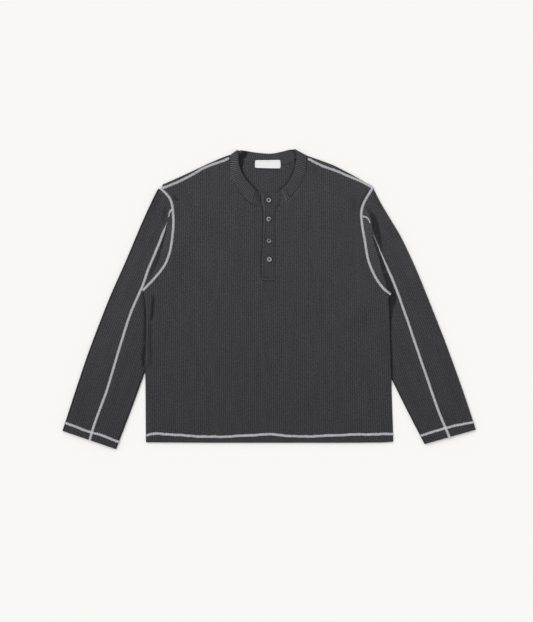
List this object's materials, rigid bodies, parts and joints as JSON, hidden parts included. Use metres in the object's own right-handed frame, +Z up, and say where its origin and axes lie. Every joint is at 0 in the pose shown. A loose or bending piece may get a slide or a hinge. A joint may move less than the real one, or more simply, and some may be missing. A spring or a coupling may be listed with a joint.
{
  "type": "henley shirt",
  "caption": "Long-sleeved ribbed knit henley shirt laid flat, with a rib band collar, a short buttoned placket, and sleeves folded down beside the body.",
  "frame": {"origin": "centre of the shirt's footprint, on the surface it lies on", "axes": "+X towards the wearer's left sleeve (the viewer's right, looking down at the front), +Y from the hem to the collar, +Z up from the surface"},
  "size_m": [0.9916, 0.719, 0.0102],
  "materials": {
    "knit": "charcoal heather rib knit, matt",
    "button": "grey, polished",
    "label": "plain white woven tape"
  },
  "bodies": {
    "root": {"body_front": "knit", "body_back": "knit", "sleeve_left": "knit", "sleeve_right": "knit", "collar_band": "knit", "placket_top": "knit", "placket_under": "knit", "neck_label": "label", "button_1": "button", "button_2": "button", "button_3": "button", "button_4": "button"}
  },
  "joints": []
}
